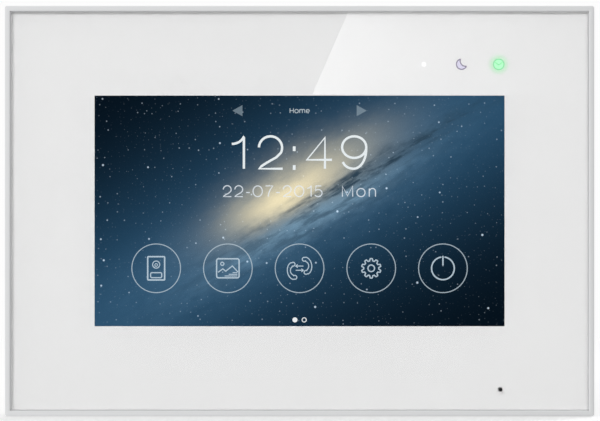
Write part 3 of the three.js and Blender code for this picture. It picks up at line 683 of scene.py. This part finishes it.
def night_sky():
    """A made-up night sky: a slanted band of dust and light with a warm heart, and scattered stars."""
    finish = Finish("night_sky")
    math, product, total = finish.math, finish.product, finish.total
    x, _, z = finish.axes()
    tilt = radians(30)
    heart_x, heart_z = -4.0, 3.0
    dx = math("MULTIPLY_ADD", x, 1 / MM, -heart_x)
    dz = math("MULTIPLY_ADD", z, 1 / MM, -heart_z)
    along = total(math("MULTIPLY", dx, cos(tilt)), math("MULTIPLY", dz, sin(tilt)))
    across = total(math("MULTIPLY", dx, -sin(tilt)), math("MULTIPLY", dz, cos(tilt)))

    def streaks(length, width, detail, offset):
        """Noise drawn out along the band: blobs of about this length and width in millimetres."""
        place = finish.node("ShaderNodeCombineXYZ")
        finish.link(math("MULTIPLY", along, 1 / length), place.inputs["X"])
        finish.link(math("MULTIPLY", across, 1 / width), place.inputs["Y"])
        place.inputs["Z"].default_value = offset
        return finish.noise(1.0, detail, 0.62, vector=place.outputs[0])

    def bell(value, centre, width):
        """1 at the centre, falling off smoothly over the width."""
        off = math("DIVIDE", math("SUBTRACT", value, centre), width)
        return math("EXPONENT", math("MULTIPLY", math("MULTIPLY", off, off), -1.0))

    broad = streaks(46, 30, 4.0, 3.0)
    fine = streaks(9, 4.2, 7.0, 8.0)
    wisps = streaks(16, 3.2, 8.0, 21.0)
    wander = total(math("MULTIPLY", math("SUBTRACT", broad, 0.5), 11.0),
                   math("MULTIPLY", math("SUBTRACT", fine, 0.5), 5.5))
    side = math("ADD", across, wander)

    sky = finish.blend(bell(across, -2.0, 37.0), (0.0016, 0.0052, 0.0105), (0.021, 0.075, 0.145))
    band = product(bell(side, -4.0, 15.0), bell(along, 0.0, 70.0),
                   finish.ramp_between(fine, 0.25, 0.75, to=(0.45, 1.0)))
    sky = finish.blend(product(band, 0.62), sky, (0.105, 0.235, 0.375))
    warm = product(bell(side, 4.0, 10.0), bell(along, 9.0, 30.0))
    sky = finish.blend(product(warm, 0.85), sky, (0.58, 0.55, 0.43))
    heart = product(bell(side, 2.2, 5.2), bell(along, 0.0, 17.0))
    sky = finish.blend(heart, sky, (0.98, 0.86, 0.56))
    mist = product(bell(side, -8.5, 5.0), bell(along, 5.0, 34.0),
                   finish.ramp_between(fine, 0.3, 0.7, to=(0.5, 1.0)))
    sky = finish.blend(product(mist, 0.85), sky, (0.20, 0.37, 0.52))
    dusty = finish.ramp_between(wisps, 0.44, 0.60, smooth=True)
    lane = product(bell(side, -4.2, 3.0), bell(along, 34.0, 52.0))
    sky = finish.blend(product(lane, finish.ramp_between(dusty, 0, 1, to=(0.35, 1.0))), sky,
                       (0.022, 0.048, 0.075))
    veil = product(bell(side, -10.0, 7.0), bell(along, 4.0, 50.0), dusty)
    sky = finish.blend(product(veil, 0.60), sky, (0.030, 0.070, 0.115))

    flat = finish.node("ShaderNodeCombineXYZ")
    finish.link(x, flat.inputs["X"])
    finish.link(z, flat.inputs["Y"])

    def stars(spacing, share, radius, brightness):
        """Round dots in a share of a random lattice's cells. Spacing and radius in millimetres."""
        cells = finish.node("ShaderNodeTexVoronoi", voronoi_dimensions="2D")
        cells.inputs["Scale"].default_value = 1 / (spacing * MM)
        finish.link(flat.outputs[0], cells.inputs["Vector"])
        luck = finish.node("ShaderNodeSeparateColor")
        finish.link(cells.outputs["Color"], luck.inputs[0])
        chosen = math("GREATER_THAN", luck.outputs[0], 1 - share)
        size = math("POWER", luck.outputs[1], 2.0)
        reach = finish.ramp_between(size, 0, 1, to=(radius / spacing * 0.5, radius / spacing))
        dot = math("SUBTRACT", 1.0, math("DIVIDE", cells.outputs["Distance"], reach), clamp=True)
        level = finish.ramp_between(size, 0, 1, to=(brightness * 0.3, brightness))
        return product(chosen, math("POWER", dot, 0.7), level)

    light = total(stars(9.0, 0.45, 0.52, 1.0), stars(3.4, 0.6, 0.34, 0.36), stars(1.5, 0.5, 0.22, 0.11))
    sky = finish.blend(1.0, sky, finish.blend(light, (0, 0, 0), (0.72, 0.86, 1.0)), mode="ADD")
    finish.set(base=(0.0, 0.0, 0.0), roughness=0.6, specular=0.0, emission=sky, strength=1.0)
    return finish.material


def drawn_light(name, color, alpha=1.0, strength=1.0):
    """Lit pixels of one colour; below an alpha of 1 the picture shows through."""
    finish = Finish(name)
    finish.set(base=(0.0, 0.0, 0.0), roughness=1.0, specular=0.0, emission=color, strength=strength,
               alpha=alpha)
    return finish.material


def make_picture():
    bm = bmesh.new()
    half_width, half_height = DISPLAY_WIDTH / 2 - 0.02, DISPLAY_HEIGHT / 2 - 0.02
    add_box(bm, (-half_width, half_width), (PICTURE_FRONT, PICTURE_REAR), (-half_height, half_height))
    new_piece("display_picture", bm, night_sky(), "monitor")


LOW_CASE = 0.76  # the height of a small letter


def glyph(char):
    """A character's width, then its strokes (points, closed), in a box one unit high."""
    if char == "0":
        return 0.86, [(arc(0.43, 0.5, 0.43, 0.5, 0, 360)[:-1], True)]
    if char == "1":
        return 0.38, [([*arc(0.0, 1.08, 0.38, 0.30, -90, -15, 6), (0.38, 0.98), (0.38, 0)], False)]
    if char == "2":
        top = arc(0.385, 0.66, 0.365, 0.36, 178, -26)
        return 0.77, [([*top, (0.57, 0.36), (0.27, 0.19), (0.10, 0.08), (0.03, 0.0), (0.77, 0.0)], False)]
    if char == "4":
        return 0.82, [([(0.6, 0), (0.6, 0.98), (0.03, 0.28), (0.82, 0.28)], False)]
    if char == "5":
        bowl = arc(0.35, 0.33, 0.36, 0.33, 126, -150)
        return 0.71, [([(0.64, 1), (0.15, 1), (0.08, 0.53), *bowl], False)]
    if char == "7":
        return 0.68, [([(0, 1), (0.68, 1), (0.44, 0.66), (0.3, 0.34), (0.24, 0)], False)]
    if char == "9":
        loop = arc(0.4, 0.68, 0.38, 0.34, 0, 360)[:-1]
        tail = arc(0.38, 0.62, 0.40, 0.62, 6, -90, 16)
        hook = arc(0.38, 0.30, 0.35, 0.30, -92, -163, 10)
        return 0.8, [(loop, True), ([*tail, *hook], False)]
    if char == "-":
        return 0.34, [([(0, 0.38), (0.34, 0.38)], False)]
    if char == "H":
        return 0.74, [([(0, 0), (0, 1)], False), ([(0.74, 0), (0.74, 1)], False),
                      ([(0.05, 0.5), (0.69, 0.5)], False)]
    if char == "M":
        return 0.96, [([(0, 0), (0, 0.98), (0.48, 0.06), (0.96, 0.98), (0.96, 0)], False)]
    if char == "o":
        return 0.76, [(arc(0.38, LOW_CASE / 2, 0.38, LOW_CASE / 2, 0, 360)[:-1], True)]
    if char == "e":
        bowl = arc(0.34, LOW_CASE / 2, 0.34, LOW_CASE / 2, 0, 318)
        return 0.68, [([(0.05, LOW_CASE / 2), *bowl], False)]
    arch = arc(0.30, LOW_CASE - 0.28, 0.28, 0.28, 170, 0)
    stem = ([(0, 0), (0, LOW_CASE)], False)
    if char == "n":
        return 0.58, [stem, ([*arch, (0.58, 0)], False)]
    if char == "m":
        second = [(x + 0.54, z) for x, z in arch]
        return 1.12, [stem, ([*arch, (0.58, 0)], False), ([*second, (1.12, 0)], False)]
    raise ValueError(char)


def write(bm, text, left, right, low, height, stroke):
    """Draws text that fills the space between two X values, with even gaps."""
    widths = [glyph(char)[0] * height for char in text]
    gap = (right - left - sum(widths)) / max(1, len(text) - 1)
    x = left
    for char, width in zip(text, widths):
        write_glyph(bm, char, x, low, height, stroke)
        x += width + gap


def write_glyph(bm, char, left, low, height, stroke):
    for points, closed in glyph(char)[1]:
        placed = [(left + x * height, low + z * height) for x, z in points]
        add_line(bm, placed, stroke, UI_FRONT, UI_REAR, closed)


def make_clock():
    """The big time, with one glyph box for each digit."""
    bm = bmesh.new()
    low, height, stroke = 15.95, 12.0, 0.88
    for char, left in (("1", -25.6), ("2", -15.6), ("4", 2.4), ("9", 15.85)):
        write_glyph(bm, char, left, low, height, stroke)
    for z in (16.4, 23.5):
        add_box(bm, (-2.55, -1.5), (UI_FRONT, UI_REAR), (z - 0.9, z + 0.9))
    new_piece("clock_digits", bm, drawn_light("clock_white", (0.86, 0.92, 0.94)), "monitor")


def make_small_text():
    bm = bmesh.new()
    low, height, stroke = 5.4, 4.05, 0.42
    write(bm, "22-07-2015", -28.9, 8.5, low, height, stroke)
    write(bm, "Mon", 16.2, 28.7, low, height, stroke)
    new_piece("date_line", bm, drawn_light("date_white", (0.86, 0.93, 1.0), 0.48), "monitor")
    bm = bmesh.new()
    write(bm, "Home", -3.6, 3.7, 37.05, 1.75, 0.26)
    new_piece("page_title", bm, drawn_light("title_white", (0.75, 0.85, 0.9), 0.42), "monitor")
    bm = bmesh.new()
    for sign in (-1, 1):
        tip, back = sign * 25.4, sign * 21.6
        add_plate(bm, [(tip, 37.9), (back, 40.0), (back, 35.8)][::sign], UI_FRONT, UI_REAR)
    new_piece("page_arrows", bm, drawn_light("arrow_grey", (0.42, 0.54, 0.62), 0.2), "monitor")


BUTTON_Z = -21.7
BUTTON_PITCH = 27.1
BUTTON_RADIUS = 9.2


def draw(bm, points, cx, stroke=0.5, closed=False):
    """A line of a button's symbol, about the button's centre."""
    add_line(bm, [(cx + x, BUTTON_Z + z) for x, z in points], stroke, UI_FRONT, UI_REAR, closed)


def door_station_symbol(bm, cx):
    draw(bm, rounded(6.4, 8.8, 0.3), cx, 0.55, True)
    draw(bm, circle(0, 1.4, 1.35), cx, 0.36, True)
    draw(bm, circle(0, 1.25, 0.5, 24), cx, 0.3, True)
    draw(bm, rounded(4.2, 1.9, 0.5, 0, -2.6), cx, 0.42, True)


def gallery_symbol(bm, cx):
    draw(bm, rounded(8.5, 7.2, 0.7), cx, 0.5, True)
    draw(bm, circle(-2.1, 1.7, 0.62, 24), cx, 0.36, True)
    draw(bm, [(-3.7, -1.5), (-1.9, -0.2), (-0.8, -1.1), (1.7, 0.9), (3.8, -1.4)], cx, 0.4)
    for row, left in enumerate((-1.2, 0.3, 1.8)):
        draw(bm, [(left, -2.9 + row * 0.62), (3.6, -2.9 + row * 0.62)], cx, 0.34)


def handset_outline():
    """An upright handset that opens to the right, about its own centre."""
    back = arc(1.0, 0, 2.35, 3.3, 105, 255, 14)
    lower_end = arc(1.15, -2.5, 0.74, 0.74, 235, 480, 12)
    grip = arc(1.25, 0, 1.45, 1.7, 245, 115, 9)
    upper_end = arc(1.15, 2.5, 0.74, 0.74, -120, 125, 12)
    return [*back, *lower_end, *grip, *upper_end]


def transfer_symbol(bm, cx):
    lean = radians(8)
    shape = [(x * cos(lean) - z * sin(lean) - 3.25, x * sin(lean) + z * cos(lean) - 1.1)
             for x, z in handset_outline()]
    draw(bm, shape, cx, 0.38, True)
    draw(bm, [(-x, -z) for x, z in shape], cx, 0.38, True)
    for sign, z in ((-1, 0.85), (1, -0.75)):
        tip = sign * 1.45
        draw(bm, [(-tip, z), (tip, z)], cx, 0.36)
        draw(bm, [(tip - sign * 0.75, z + 0.6), (tip, z), (tip - sign * 0.75, z - 0.6)], cx, 0.36)


def settings_symbol(bm, cx):
    teeth, steps = 10, 120
    points = []
    for i in range(steps):
        angle = 2 * pi * i / steps
        wave = max(-1.0, min(1.0, 1.9 * cos(teeth * angle)))
        radius = 3.25 + 0.42 * wave
        points.append((radius * sin(angle), radius * cos(angle)))
    draw(bm, points, cx, 0.46, True)
    draw(bm, circle(0, 0, 1.25, 32), cx, 0.46, True)


def power_symbol(bm, cx):
    gap = 8
    draw(bm, arc(0, 0, 4.3, 4.3, 90 + gap, 450 - gap), cx, 0.52)
    draw(bm, [(0, 1.1), (0, 4.7)], cx, 0.52)


def make_buttons():
    rings, symbols = bmesh.new(), bmesh.new()
    drawings = (door_station_symbol, gallery_symbol, transfer_symbol, settings_symbol, power_symbol)
    for i, drawing in enumerate(drawings):
        cx = (i - 2) * BUTTON_PITCH
        draw(rings, circle(0, 0, BUTTON_RADIUS, 96), cx, 0.36, True)
        drawing(symbols, cx)
    ring_blue = drawn_light("ring_blue", (0.60, 0.72, 0.80), 0.38)
    symbol_blue = drawn_light("symbol_blue", (0.62, 0.76, 0.86), 0.52)
    new_piece("button_rings", rings, ring_blue, "monitor")
    new_piece("button_symbols", symbols, symbol_blue, "monitor")


def make_page_dots():
    bm = bmesh.new()
    add_plate(bm, circle(-1.75, -41.2, 0.95, 32), UI_FRONT, UI_REAR)
    add_line(bm, circle(1.75, -41.2, 0.8, 32), 0.3, UI_FRONT, UI_REAR, True)
    new_piece("page_dots", bm, drawn_light("page_white", (0.9, 0.93, 0.95), 0.95), "monitor")


# ---- Symbols in the glass --------------------------------------------------------------


def halo(name, color, x, core, reach, strength):
    """A soft glow round a lit symbol, fading to nothing at its reach."""
    finish = Finish(name)
    px, _, pz = finish.axes()
    dx = finish.math("SUBTRACT", px, x * MM)
    dz = finish.math("SUBTRACT", pz, LAMP_Z * MM)
    squared = finish.math("ADD", finish.math("MULTIPLY", dx, dx), finish.math("MULTIPLY", dz, dz))
    distance = finish.math("SQRT", squared)
    fade = finish.math("POWER", finish.ramp_between(distance, core * MM, reach * MM, to=(1.0, 0.0)), 1.8)
    finish.set(base=(0, 0, 0), roughness=1.0, specular=0.0, emission=color, strength=1.0,
               alpha=finish.math("MULTIPLY", fade, strength))
    bm = bmesh.new()
    add_plate(bm, circle(x, LAMP_Z, reach, 48), SYMBOL_REAR - 0.006, SYMBOL_REAR)
    new_piece(name, bm, finish.material, "monitor")


def crescent(cx, cz, radius, bite, offset, tilt):
    """A crescent's outline: a circle less another one, moved by offset along tilt, in degrees."""
    meet = (radius ** 2 - bite ** 2 + offset ** 2) / (2 * offset)
    horn = sqrt(radius ** 2 - meet ** 2)
    outer_angle = degrees(atan2(horn, meet))
    inner_angle = degrees(atan2(horn, meet - offset))
    outer = arc(0, 0, radius, radius, outer_angle, 360 - outer_angle, 28)
    inner = arc(offset, 0, bite, bite, 360 - inner_angle, inner_angle, 18)
    turn = radians(tilt)
    return [(cx + x * cos(turn) - z * sin(turn), cz + x * sin(turn) + z * cos(turn))
            for x, z in outer + inner[1:-1]]


def make_symbols(white):
    """The lit symbols, each on a translucent window that fills its aperture in the white print."""
    for name, x, radius in (("dot", DOT_X, 1.0), ("moon", MOON_X, 2.7), ("message", MESSAGE_X, 2.7)):
        bm = bmesh.new()
        add_plate(bm, circle(x, LAMP_Z, radius - 0.004, 64), PRINT_LOW.y, PRINT_HIGH.y)
        new_piece("symbol_window_" + name, bm, white, "monitor")

    front, rear = SYMBOL_FRONT, SYMBOL_REAR - 0.01
    bm = bmesh.new()
    add_plate(bm, circle(DOT_X, LAMP_Z, 0.8, 24), front, rear)
    new_piece("symbol_dot", bm, lit_lamp("dot_white", (0.95, 0.95, 0.95), 0.3), "monitor")

    moon = crescent(MOON_X + 0.15, LAMP_Z + 0.05, 1.95, 2.0, 1.9, 40)
    bm = bmesh.new()
    add_line(bm, moon, 0.42, front, rear, True)
    new_piece("symbol_moon_outline", bm, lit_lamp("moon_violet", (0.20, 0.17, 0.27), 0.08),
              "monitor")
    bm = bmesh.new()
    add_plate(bm, moon, front + 0.02, rear)
    new_piece("symbol_moon_fill", bm, lit_lamp("moon_lilac", (0.68, 0.65, 0.80), 0.10),
              "monitor")

    ring = bmesh.new()
    add_line(ring, circle(MESSAGE_X, LAMP_Z, 1.95, 48), 0.42, front, rear, True)
    flap = [(-1.35, 0.75), (0, -0.25), (1.35, 0.75)]
    add_line(ring, [(MESSAGE_X + x, LAMP_Z + z) for x, z in flap], 0.34, front, rear)
    new_piece("symbol_message_ring", ring, lit_lamp("message_green", (0.20, 0.66, 0.32), 0.12),
              "monitor")
    bm = bmesh.new()
    add_plate(bm, circle(MESSAGE_X, LAMP_Z, 1.95, 48), front + 0.02, rear)
    new_piece("symbol_message_fill", bm, lit_lamp("message_pale", (0.42, 0.97, 0.53), 0.22),
              "monitor")
    halo("symbol_message_glow", (0.62, 1.0, 0.68), MESSAGE_X, 0.8, 4.6, 0.9)


# ---- Rear ------------------------------------------------------------------------------


def make_jack_contacts(gold):
    low, high = span_mm("rj45_jack")
    bm = bmesh.new()
    contacts, pitch = 8, 1.02
    centre = (low.x + high.x) / 2
    for i in range(contacts):
        x = centre + (i - (contacts - 1) / 2) * pitch
        path = [(low.y + 2.2, low.z + 13.5), (low.y + 5.0, low.z + 9.5), (low.y + 3.2, low.z + 3.0)]
        add_spring(bm, path, x, 0.4, 0.3)
    new_piece("jack_contacts", bm, gold, "monitor")


def make_jack_shield(metal):
    """The folded seam and the two earth springs on the network socket's shield."""
    low, high = span_mm("rj45_jack")
    centre, width, tall = (low.x + high.x) / 2, high.x - low.x, high.z - low.z
    bm = bmesh.new()
    for sign in (-1, 1):
        path = [(high.y + 0.06, low.z + tall * 0.62), (high.y + 0.5, low.z + tall * 0.3),
                (high.y + 0.12, low.z + tall * 0.06)]
        add_spring(bm, path, centre + sign * width * 0.27, 2.4, 0.22)
    seam = low.z + tall * 0.8
    add_box(bm, (low.x + 0.4, high.x - 0.4), (high.y + 0.01, high.y + 0.2), (seam - 0.5, seam + 0.5))
    new_piece("jack_shield_springs", bm, metal, "monitor")


def add_spring(bm, path, x, width, thickness):
    """A flat spring through (y, z) points, as wide as width along X."""
    left, right = edges_of_line(path, thickness, False)
    near, far = x - width / 2, x + width / 2
    rings = [ring_of(bm, [(near, *a), (near, *b), (far, *b), (far, *a)])
             for a, b in zip(left, right)]
    for i in range(len(rings) - 1):
        skin(bm, rings[i], rings[i + 1])
    bm.faces.new(rings[0])
    bm.faces.new(list(reversed(rings[-1])))


def add_slotted_screw(bm, x, z, radius, front, rear):
    """A round screw head that faces the wall, with a slot across it."""
    slot = radius * 0.22
    edge = sqrt(radius ** 2 - slot ** 2)
    start = degrees(atan2(slot, edge))
    for turn in (0, 180):
        half = arc(x, z, radius, radius, turn + start, turn + 180 - start, 14)
        add_plate(bm, half, front, rear)
    add_plate(bm, circle(x, z, radius, 28), front - 0.4, front - 0.01)


def make_terminal_screws(zinc):
    bm = bmesh.new()
    for node, ways in (("power_terminal", 2), ("signal_terminal", 6)):
        low, high = span_mm(node)
        pitch = (high.x - low.x) / ways
        for i in range(ways):
            x = low.x + (i + 0.5) * pitch
            add_slotted_screw(bm, x, (low.z + high.z) / 2, pitch * 0.31, high.y - 1.9, high.y - 1.0)
    new_piece("terminal_screws", bm, zinc, "monitor")


def make_board_parts(ceramic, solder):
    """Small chip parts in the bay, with soldered ends."""
    _, high = span_mm("main_board")
    bodies, ends = bmesh.new(), bmesh.new()
    places = [(-33 + 4.1 * i, -33.0) for i in range(9)] + [(-31 + 5.3 * i, -40.0) for i in range(12)]
    for x, z in places:
        add_box(bodies, (x - 0.6, x + 0.6), (high.y + 0.03, high.y + 0.65), (z - 0.6, z + 0.6))
        for sign in (-1, 1):
            inner, outer = sorted((x + sign * 0.62, x + sign * 1.0))
            add_box(ends, (inner, outer), (high.y + 0.02, high.y + 0.67), (z - 0.62, z + 0.62))
    new_piece("chip_bodies", bodies, ceramic, "monitor")
    new_piece("chip_ends", ends, solder, "monitor")


def make_label_border(print_grey):
    low, high = span_mm("rating_label")
    bm = bmesh.new()
    centre_z = (low.z + high.z) / 2
    outline = rounded(high.x - low.x - 2.4, high.z - low.z - 2.4, 0.9, 0, centre_z)
    add_line(bm, outline, 0.25, high.y + 0.005, high.y + 0.02, True)
    new_piece("label_border", bm, print_grey, "monitor")


# ---- Build -----------------------------------------------------------------------------

add_camera()
add_world()
key = area_light("key", (-0.85, -2.4, 1.0), 1.3, KEY_WATTS)
fill = area_light("fill", (1.0, -2.4, 0.2), 1.2, FILL_WATTS)
for lamp in (key, fill):  # the metal mirrors the surround, not the lamps
    lamp.visible_glossy = False
area_light("back", (1.3, 1.3, 1.5), 0.9, BACK_WATTS)
add_glare_card()
add_floor()
bpy.context.scene.view_settings.view_transform = "Standard"

aluminium = anodised_aluminium()
glass = clear_glass()
steel = zinc_steel("zinc_steel")
bracket_steel = zinc_steel("bracket_steel", (0.58, 0.59, 0.60), 0.42)
nickel = plated("nickel", (0.62, 0.61, 0.58), 0.32)
gold = plated("gold", (0.86, 0.62, 0.25), 0.2)
zinc = plated("screw_zinc", (0.66, 0.67, 0.68), 0.3)
cover_white = moulded_plastic("cover_white", (0.60, 0.605, 0.61), 0.5, grain=1900, depth=0.00006,
                              drift=0.03)
diffuser = moulded_plastic("diffuser_white", (0.86, 0.86, 0.84), 0.45, depth=0.000005)
black = moulded_plastic("black_plastic", (0.018, 0.018, 0.02), 0.42, depth=0.00001)
chip = moulded_plastic("chip_black", (0.014, 0.014, 0.015), 0.5, grain=6000, depth=0.000006)
terminal = moulded_plastic("terminal_green", (0.05, 0.24, 0.10), 0.4, depth=0.000008)
ivory = moulded_plastic("connector_ivory", (0.70, 0.64, 0.50), 0.45, depth=0.000006)
rubber = soft_rubber()
board = circuit_board()
film = amber_film()
label = moulded_plastic("label_film", (0.66, 0.67, 0.68), 0.4, depth=0.000004)

make_frame(aluminium)
refine("front_glass", glass, 0.15)
printed_white = white_print()
refine("mask_print", printed_white, 0)
make_glass_seal()
make_microphone_mesh()
make_picture()
make_clock()
make_small_text()
make_buttons()
make_page_dots()
make_symbols(printed_white)

NODE_FINISH = {
    "glass_tape": rubber, "lcd_foam": rubber, "touch_sensor": glass, "lcd_panel": black,
    "backlight": diffuser, "lcd_frame": steel, "light_guide": diffuser, "led_board": board,
    "led_dot": lit_lamp("lamp_white", (0.95, 0.95, 0.93), 1.0),
    "led_moon": lit_lamp("lamp_violet", (0.7, 0.66, 0.9), 1.0),
    "led_message": lit_lamp("lamp_green", (0.3, 0.95, 0.45), 1.0),
    "mic_boot": rubber, "microphone": nickel, "chassis": steel, "main_board": board,
    "processor": chip, "memory_chip": chip, "shield_can": nickel, "ethernet_transformer": chip,
    "inductor": chip, "capacitor_1": aluminium, "capacitor_2": aluminium, "capacitor_3": aluminium,
    "cell_holder": black, "coin_cell": nickel, "lcd_ribbon": film, "touch_ribbon": film,
    "lcd_connector": ivory, "touch_connector": ivory, "rj45_jack": nickel,
    "power_terminal": terminal, "signal_terminal": terminal, "sd_socket": nickel, "sd_card": black,
    "reset_switch": black, "reset_button": black, "speaker_gasket": rubber, "speaker_frame": steel,
    "speaker_cone": black, "speaker_magnet": steel, "speaker_lead": rubber,
    "rear_cover": cover_white, "rating_label": label, "wall_bracket": bracket_steel,
    **{f"bumper_{i}": rubber for i in range(1, 5)},
    **{f"cover_screw_{i}": zinc for i in range(1, 5)},
    **{f"board_screw_{i}": zinc for i in range(1, 5)},
}
USUAL_BEVEL = 0.12
BEVELS = {
    "rear_cover": 0.35, "wall_bracket": 0.25, "rating_label": 0.05, "touch_sensor": 0.05,
    "lcd_ribbon": 0, "touch_ribbon": 0, "speaker_lead": 0, "glass_tape": 0, "lcd_foam": 0,
}
for node, material in NODE_FINISH.items():
    refine(node, material, BEVELS.get(node, USUAL_BEVEL))

make_jack_contacts(gold)
make_jack_shield(nickel)
make_terminal_screws(zinc)
make_board_parts(moulded_plastic("chip_ceramic", (0.20, 0.17, 0.13), 0.4), zinc)
make_label_border(moulded_plastic("label_grey", (0.22, 0.22, 0.23), 0.5))
